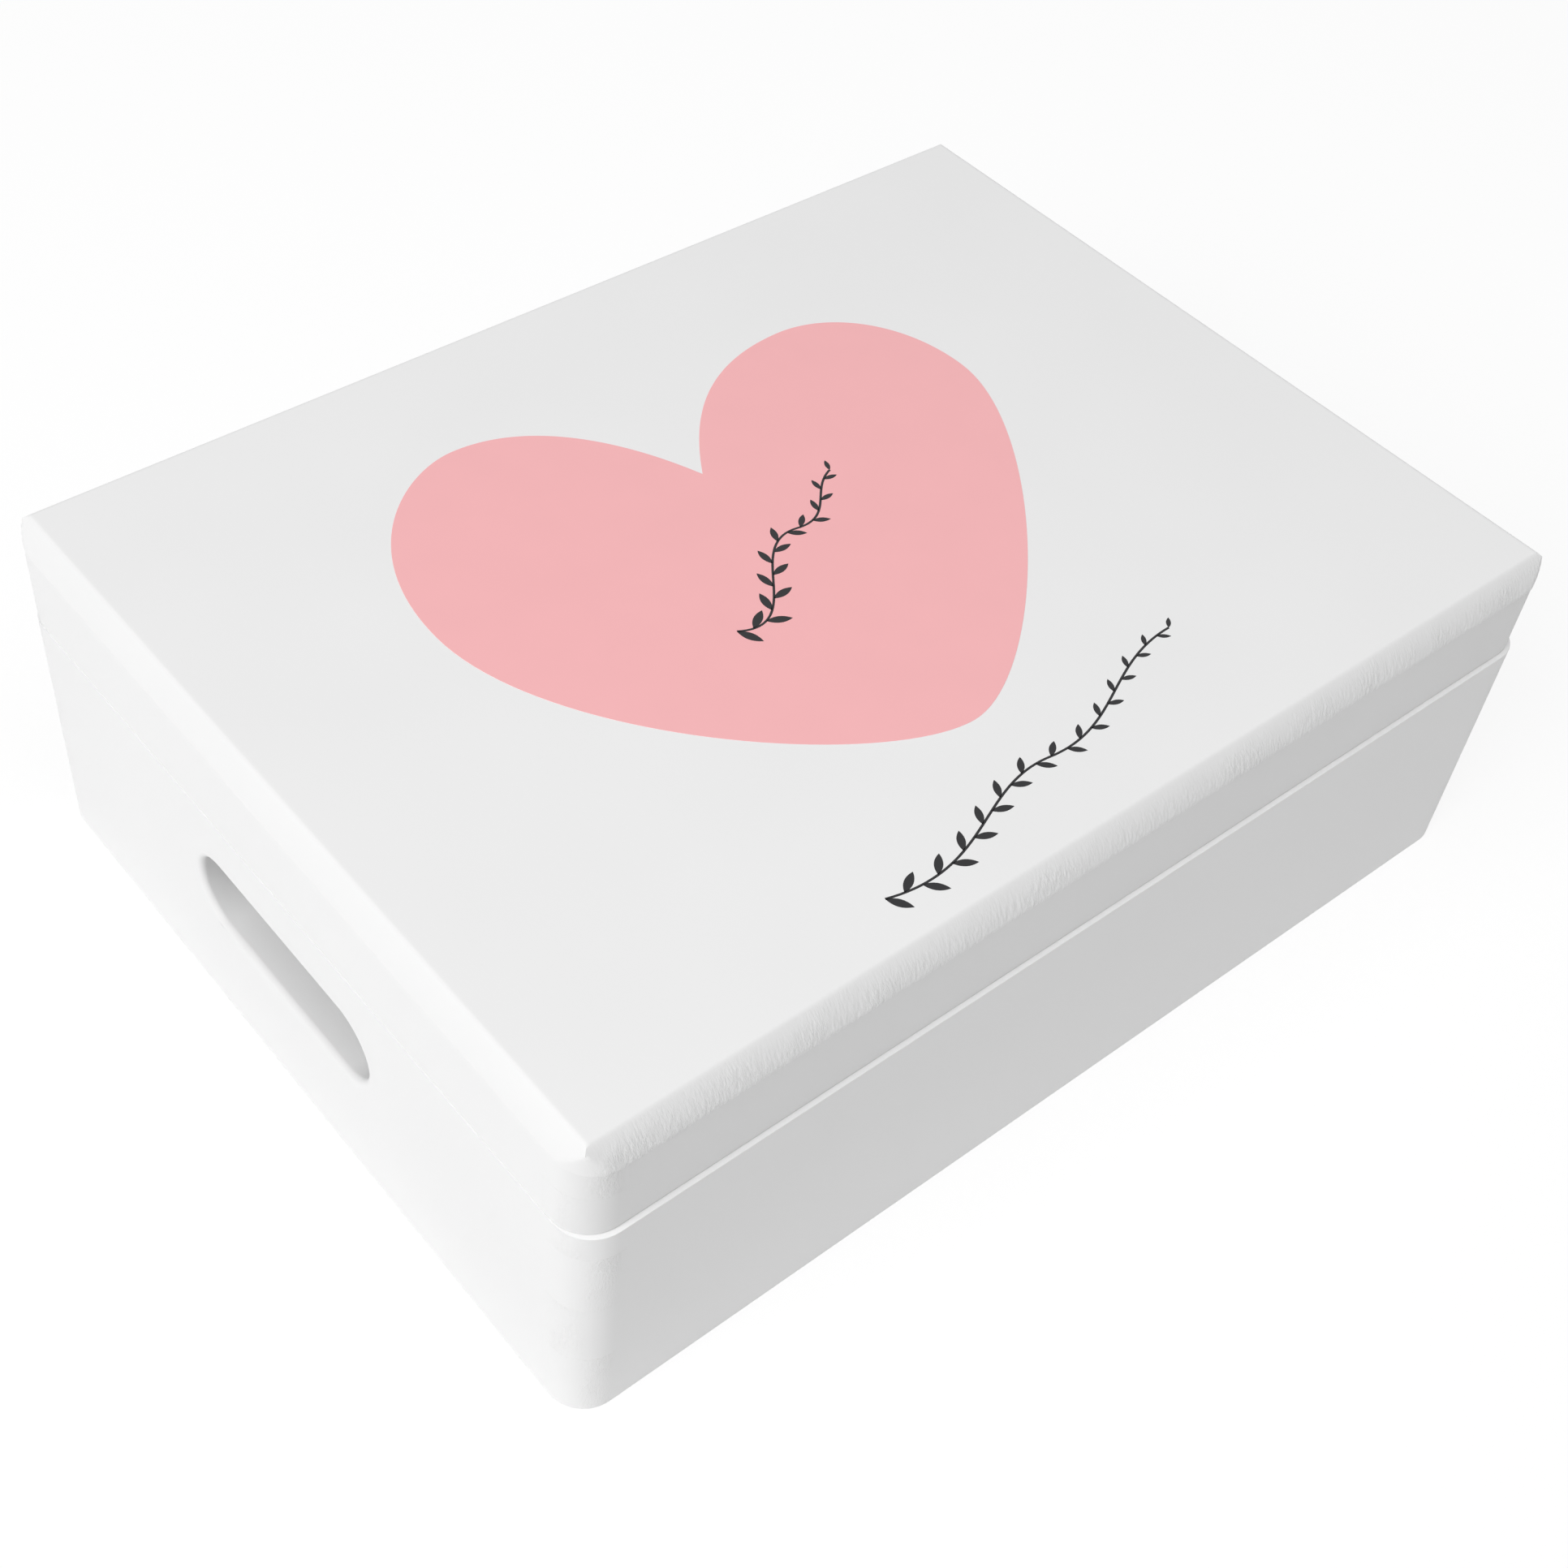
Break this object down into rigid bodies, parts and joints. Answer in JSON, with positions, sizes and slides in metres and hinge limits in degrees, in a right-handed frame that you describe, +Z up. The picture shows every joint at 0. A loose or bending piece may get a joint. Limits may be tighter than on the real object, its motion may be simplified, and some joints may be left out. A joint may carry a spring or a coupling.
{
  "type": "keepsake box",
  "caption": "White painted wooden keepsake box with a hinged lid, rounded corners, hand slots through both ends and a plain pink heart printed on the top board.",
  "frame": {"origin": "middle of the box's underside, on the surface it stands on", "axes": "+X along the front to the right, +Y from the front to the hinges, +Z up"},
  "size_m": [0.4, 0.3061, 0.1324],
  "materials": {
    "white_paint": "pine under smooth satin white paint, grain faint except on rounded end grain",
    "print_pink": "flat matt print film, soft pink",
    "hinge_brass": "bright brass-plated sheet",
    "plated_steel": "zinc-plated steel"
  },
  "bodies": {
    "box": {"box_front_wall": "white_paint", "box_back_wall": "white_paint", "box_left_wall": "white_paint", "box_right_wall": "white_paint", "box_bottom_panel": "white_paint", "box_panel_pins": "plated_steel", "left_hinge_box_leaf": "hinge_brass", "left_hinge_pin": "plated_steel", "left_hinge_box_screws": "plated_steel", "right_hinge_box_leaf": "hinge_brass", "right_hinge_pin": "plated_steel", "right_hinge_box_screws": "plated_steel"},
    "lid": {"lid_top_board": "white_paint", "lid_front_rail": "white_paint", "lid_back_rail": "white_paint", "lid_left_rail": "white_paint", "lid_right_rail": "white_paint", "lid_heart_print": "print_pink", "left_hinge_lid_leaf": "hinge_brass", "left_hinge_lid_screws": "plated_steel", "right_hinge_lid_leaf": "hinge_brass", "right_hinge_lid_screws": "plated_steel"}
  },
  "joints": [
    {"name": "lid_hinge", "type": "hinge", "parent": "box", "child": "lid", "pos_m": [0, 0.15155, 0.09415], "axis": [-1, 0, 0], "range_deg": [0, 100]}
  ]
}
